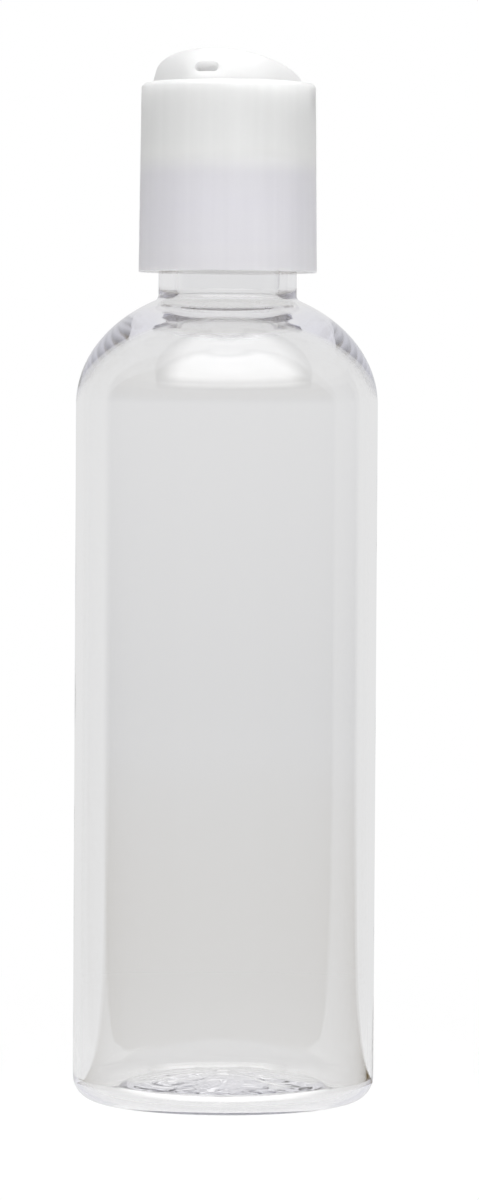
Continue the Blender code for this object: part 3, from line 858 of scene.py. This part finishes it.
class BOTTLE_OT_add_cap(bpy.types.Operator):
    """Adds the cap body: skirt, deck, plug and the chamber for the disc"""

    bl_idname = "press_bottle.add_cap"
    bl_label = "Cap body"

    def execute(self, context):
        scene = context.scene
        sizes, disc, detail = scene.cap_sizes, scene.disc_sizes, scene.detail
        neck = scene.bottle_sizes.neck / 2
        bore = neck - scene.bottle_sizes.neck_wall
        profile = cap_profile(sizes, scene.thread_sizes, neck, bore, detail)
        made = lathe("cap_moulding", profile, detail.turn)
        under = CAP_LOW.z + sizes.skirt
        deck = under + sizes.deck
        chamber = chamber_radius(sizes)
        middle = chamber + sizes.rim_wall / 2
        within = deck - sizes.deck / 2
        over = sizes.deck
        edge = sizes.edge / 3

        top = deck + sizes.post_height
        post = shaft("post", sizes.post / 2, within, top, "Z", edge, detail, 64)
        saddle = shaft(
            "saddle", disc.valve + sizes.clearance, -sizes.post, sizes.post, "X", edge, detail, 160
        )
        hole = shaft("hole", sizes.orifice / 2, under - over, top + over, "Z", edge, detail)
        at_pivot = math.sqrt(chamber**2 - PIVOT.y**2)
        running = sizes.clearance / 2
        reach = at_pivot + disc.pin_reach + running
        sockets = shaft("sockets", disc.pin / 2 + running, -reach, reach, "X", edge, detail, 64)
        for tool in (post, hole):
            tool.location = (0, PIVOT.y, 0)
        for tool in (saddle, sockets):
            tool.location = (0, PIVOT.y, PIVOT.z)
        groove = (disc.pin + running) / 2
        lead = at_pivot + sizes.edge * 0.8
        grooves = block(
            "grooves", (-lead, PIVOT.y - groove, PIVOT.z),
            (lead, PIVOT.y + groove, CAP_HIGH.z + over), edge,
        )
        carve(made, post, "UNION")
        for tool in (saddle, hole, sockets, grooves):
            carve(made, tool)

        half = sizes.ledge_width / 2
        carve(made, block(
            "ledge", (-half, chamber - sizes.ledge_depth, within),
            (half, math.sqrt(middle**2 - half**2), ledge_height(sizes, disc)), edge,
        ), "UNION")
        for side in (-1, 1):
            at = side * sizes.rest_spacing / 2
            front = math.sqrt(middle**2 - (abs(at) + sizes.rest_width / 2) ** 2)
            carve(made, block(
                "rest", (at - sizes.rest_width / 2, -front, within),
                (at + sizes.rest_width / 2, sizes.rest_depth - front,
                 CAP_HIGH.z - disc.skirt - sizes.clearance), edge,
            ), "UNION")
        settle(made)
        # The painted shade of the skirt starts this far under the deck.
        look = cap_polypropylene(sizes, under - sizes.painted_shade_drop)
        place(made, look, "cap_body", "cap", "white_pp_cap")
        return {"FINISHED"}


class BOTTLE_OT_add_disc(bpy.types.Operator):
    """Adds the press disc with its valve, spout and pins, tipped open"""

    bl_idname = "press_bottle.add_disc"
    bl_label = "Press disc"

    def execute(self, context):
        scene = context.scene
        cap, sizes, detail = scene.cap_sizes, scene.disc_sizes, scene.detail
        radius = disc_radius(cap, sizes)
        bottom, underside = sizes.top - sizes.skirt, sizes.top - sizes.thickness
        within = sizes.top - sizes.thickness / 2
        over = sizes.thickness
        edge = sizes.edge / 3
        made = lathe("press_disc_moulding", disc_profile(sizes, radius, detail), detail.turn)
        made.data.transform(Matrix.Translation((0, -PIVOT.y, 0)))
        carve(made, block(
            "rear", (-2 * radius, sizes.ear, bottom - over),
            (2 * radius, 2 * radius, underside + sizes.relief),
        ))

        wide = sizes.spout_width / 2 + sizes.cheek
        round_part = shaft("round", sizes.valve, -wide, wide, "X", edge, detail, 160)
        carve(round_part, block(
            "above", (-radius, -radius, within), (radius, radius, radius)
        ))
        settle(round_part)
        middle = sizes.top - sizes.spout_depth
        half = sizes.spout_width / 2 + sizes.duct_wall
        front = PIVOT.y + math.sqrt((radius - sizes.skirt_wall / 2) ** 2 - half**2)
        duct = block(
            "duct", (-half, -front, middle - sizes.spout_height / 2 - sizes.duct_wall),
            (half, 0, within), sizes.edge, 4, along_y=True,
        )
        tip = math.sqrt((radius + sizes.gap) ** 2 - PIVOT.y**2) + sizes.pin_reach
        root = radius - sizes.skirt_wall / 2
        pins = [
            shaft("pin", sizes.pin / 2, side * root, side * tip, "X", edge, detail)
            for side in (-1, 1)
        ]
        for tool in (round_part, duct, *pins):
            carve(made, tool, "UNION")
        channel = block(
            "channel",
            (-sizes.spout_width / 2, -radius - PIVOT.y - over, middle - sizes.spout_height / 2),
            (sizes.spout_width / 2, sizes.inlet, middle + sizes.spout_height / 2),
            sizes.spout_height * 0.45, detail.round, along_y=True,
        )
        inlet = shaft("inlet", sizes.inlet / 2, -sizes.valve - over, middle, "Z", edge, detail)
        inlet.data.transform(Matrix.Rotation(OPEN_ANGLE, 4, "X"))
        for tool in (channel, inlet, thumb_hollow(sizes, radius)):
            carve(made, tool)
        settle(made, sharp=14)
        made.data.transform(
            Matrix.Translation(PIVOT) @ Matrix.Rotation(-OPEN_ANGLE, 4, "X")
        )
        place(made, disc_polypropylene(sizes), "press_disc", "disc", "white_pp_disc")
        return {"FINISHED"}


def screen(name, reach, height, azimuths, elevations, turn, flare=0, columns=48, rows=16):
    """Part of a sphere's inside round the object, whose azimuths are taken from the camera.
    Flare is the share by which the azimuths widen from its foot to its top."""
    middle = math.radians(sum(azimuths) / 2)
    half = math.radians((azimuths[1] - azimuths[0]) / 2)
    mesh = bmesh.new()
    chart = mesh.loops.layers.uv.new("chart")
    grid = []
    for j in range(rows + 1):
        up = math.radians(elevations[0] + (elevations[1] - elevations[0]) * j / rows)
        line = []
        for i in range(columns + 1):
            side = (2 * i / columns - 1) * half * (1 + flare * j / rows)
            around = turn + middle + side
            line.append(mesh.verts.new((
                reach * math.cos(up) * math.sin(around),
                -reach * math.cos(up) * math.cos(around),
                max(height + reach * math.sin(up), STAGE_GAP),
            )))
        grid.append(line)
    for j in range(rows):
        for i in range(columns):
            face = mesh.faces.new((
                grid[j][i], grid[j][i + 1], grid[j + 1][i + 1], grid[j + 1][i]
            ))
            corners = ((i, j), (i + 1, j), (i + 1, j + 1), (i, j + 1))
            for loop, (across, up) in zip(face.loops, corners):
                loop[chart].uv = (across / columns, up / rows)
    made = add_object(name, mesh)
    made.visible_camera = False
    return made


def chart_axes(tree):
    """How far across and up a screen the shaded point lies, each from 0 to 1."""
    chart = add_node(tree, "UVMap", uv_map="chart")
    return add_node(tree, "SeparateXYZ", {"Vector": chart.outputs["UV"]}).outputs


def mixed_shader(tree, share, first, second):
    """One shader, another, or a share of both."""
    return add_node(tree, "MixShader", {0: share, 1: first, 2: second}).outputs["Shader"]


def emission(tree, strength, rgb=(1, 1, 1, 1)):
    """A plain glow."""
    made = add_node(tree, "Emission", {"Color": rgb, "Strength": strength})
    return made.outputs["Emission"]


def softbox_cloth(strength):
    """Diffusion cloth lit from behind: an even white glow that falls off at its sides."""
    made, tree = new_material("softbox_cloth")
    axes = chart_axes(tree)
    for axis, edge in zip("XY", SOFTBOX_FADES):
        for start, end in ((0, edge), (1, 1 - edge)):
            strength = calculate(tree, "MULTIPLY", strength, ramp(tree, axes[axis], start, end))
    finish_material(tree, emission(tree, strength))
    return made


def grey_card(sizes):
    """Dull grey card that only shows in the object's gloss, palest level with the camera."""
    made, tree = new_material("grey_card")
    height = chart_axes(tree)["Y"]
    tone = opaque(sizes.card_foot)
    tones = (sizes.card_middle, sizes.card_level, sizes.card_top)
    for start, end, upper in zip(CARD_TONE_HEIGHTS, CARD_TONE_HEIGHTS[1:], tones):
        share = ramp(tree, height, start, end, kind="LINEAR")
        tone = mixed(tree, share, tone, opaque(upper))
    path = add_node(tree, "LightPath")
    mirrored = calculate(tree, "GREATER_THAN", path.outputs["Glossy Depth"], 0.5)
    clear = add_node(tree, "BsdfTransparent").outputs["BSDF"]
    finish_material(tree, mixed_shader(tree, mirrored, clear, emission(tree, 1, tone)))
    return made


def seen_directly(tree):
    """1 for what the camera sees directly, mirrored or through glass, and 0 for light."""
    path = add_node(tree, "LightPath")
    share = path.outputs["Is Camera Ray"]
    for name in ("Is Glossy Ray", "Is Transmission Ray"):
        share = calculate(tree, "MAXIMUM", share, path.outputs[name])
    return share


def backdrop_level(tree, backdrop):
    """The backdrop's strength: full white to the camera, a little less in gloss and glass."""
    path = add_node(tree, "LightPath")
    return ramp(tree, path.outputs["Is Camera Ray"], 0, 1, backdrop, 1, "LINEAR")


def studio_floor(sizes):
    """Matt white paper: it shows as white, keeps a little shade round the object and has a painted
    pool of light under the bottle.
    """
    made, tree = new_material("white_paper_sweep")
    paper, shade = (
        add_node(tree, "BsdfDiffuse", {"Color": opaque(sizes.floor, share)})
        for share in (1, FLOOR_SHADE)
    )
    level = backdrop_level(tree, sizes.backdrop)
    away = distance_of(tree, object_place(tree))
    # A painted pool of light on the paper under the bottle stands in for the light that the clear
    # wall gathers there.
    painted_pool = ramp(tree, away, PAINTED_POOL_REACH * BOTTLE_HIGH.x, BOTTLE_HIGH.x, 1, 0)
    lit = calculate(tree, "MAXIMUM", calculate(tree, "MULTIPLY", level, FLOOR_GLOW), painted_pool)
    near = add_node(tree, "AddShader", {0: shade.outputs["BSDF"], 1: emission(tree, lit)})
    far = ramp(tree, away, sizes.shade_reach / 3, sizes.shade_reach)
    shown = mixed_shader(tree, far, near.outputs["Shader"], emission(tree, level))
    seen = seen_directly(tree)
    finish_material(tree, mixed_shader(tree, seen, paper.outputs["BSDF"], shown))
    return made


def studio_world(sizes):
    """White behind the object, and a plainer level of light on it."""
    world = bpy.data.worlds.new("white_studio")
    world.use_nodes = True
    tree = world.node_tree
    tree.nodes.clear()
    level = backdrop_level(tree, sizes.backdrop)
    power = ramp(tree, seen_directly(tree), 0, 1, sizes.ambient, level, "LINEAR")
    back = add_node(tree, "Background", {"Color": opaque((1, 1, 1)), "Strength": power})
    add_node(tree, "OutputWorld", {"Surface": back.outputs["Background"]})
    bpy.context.scene.world = world


class BOTTLE_OT_add_stage(bpy.types.Operator):
    """Adds the camera, the pale floor, the softbox and the grey card"""

    bl_idname = "press_bottle.add_stage"
    bl_label = "Stage"

    def execute(self, context):
        sizes = context.scene.stage_sizes
        turn = sizes.azimuth
        distance = FOCAL_PIXELS / PIXELS_PER_METRE
        height = (FOOT_ROW - HORIZON_ROW) / PIXELS_PER_METRE
        tilt = math.atan((PHOTO_HEIGHT / 2 - HORIZON_ROW) / FOCAL_PIXELS)
        pan = math.atan((PHOTO_WIDTH / 2 - AXIS_COLUMN) / FOCAL_PIXELS)
        lens = bpy.data.cameras.new("camera")
        lens.sensor_width = SENSOR
        lens.lens = SENSOR * FOCAL_PIXELS / PHOTO_HEIGHT
        camera = bpy.data.objects.new("camera", lens)
        context.scene.collection.objects.link(camera)
        camera.matrix_world = (
            Matrix.Translation((distance * math.sin(turn), -distance * math.cos(turn), height))
            @ Matrix.Rotation(turn - pan, 4, "Z")
            @ Matrix.Rotation(math.pi / 2 - tilt, 4, "X")
            @ Matrix.Rotation(sizes.roll, 4, "Z")
        )
        context.scene.camera = camera
        context.scene.view_settings.view_transform = "Standard"
        # Light is led a long way inside the thick clear shoulder before it leaves it.
        light = context.scene.cycles
        light.diffuse_bounces = DULL_BOUNCES
        light.glossy_bounces = CLEAR_BOUNCES
        light.transmission_bounces = CLEAR_BOUNCES
        light.max_bounces = CLEAR_BOUNCES
        light.blur_glossy = 0

        mesh = bmesh.new()
        bmesh.ops.create_circle(mesh, cap_ends=True, segments=96, radius=sizes.floor_radius)
        floor = add_object("paper_floor", mesh)
        floor.location.z = -FLOOR_GAP
        floor.data.materials.append(studio_floor(sizes))

        middle = sizes.softbox_height
        softbox = screen(
            "softbox", sizes.softbox_reach, middle, SOFTBOX_AZIMUTHS, SOFTBOX_ELEVATIONS, turn,
            SOFTBOX_FLARE,
        )
        softbox.data.materials.append(softbox_cloth(sizes.softbox))
        card = screen(
            "front_card", sizes.card_reach, middle, CARD_AZIMUTHS, CARD_ELEVATIONS, turn,
            columns=96, rows=48,
        )
        card.data.materials.append(grey_card(sizes))
        card.visible_diffuse = False
        card.visible_shadow = False
        studio_world(sizes)
        return {"FINISHED"}


class BOTTLE_PT_panel(bpy.types.Panel):
    """Lists the bottle's sizes and the buttons that build it"""

    bl_idname = "BOTTLE_PT_panel"
    bl_label = "Press Cap Bottle"
    bl_space_type = "VIEW_3D"
    bl_region_type = "UI"
    bl_category = "Bottle"

    def draw(self, context):
        for name, group in GROUPS.items():
            column = self.layout.column(heading=name.replace("_", " ").capitalize())
            for size in group.__annotations__:
                column.prop(getattr(context.scene, name), size)
        for operator in OPERATORS:
            self.layout.operator(operator.bl_idname)


OPERATORS = (
    BOTTLE_OT_add_stage,
    BOTTLE_OT_add_bottle,
    BOTTLE_OT_add_washer,
    BOTTLE_OT_add_cap,
    BOTTLE_OT_add_disc,
)
CLASSES = (*GROUPS.values(), *OPERATORS, BOTTLE_PT_panel)


def register():
    for item in CLASSES:
        bpy.utils.register_class(item)
    for name, group in GROUPS.items():
        setattr(bpy.types.Scene, name, PointerProperty(type=group))


def unregister():
    for name in GROUPS:
        delattr(bpy.types.Scene, name)
    for item in reversed(CLASSES):
        bpy.utils.unregister_class(item)


def main():
    register()
    bpy.ops.press_bottle.add_stage()
    bpy.ops.press_bottle.add_bottle()
    bpy.ops.press_bottle.add_washer()
    bpy.ops.press_bottle.add_cap()
    bpy.ops.press_bottle.add_disc()


if __name__ == "__main__":
    main()
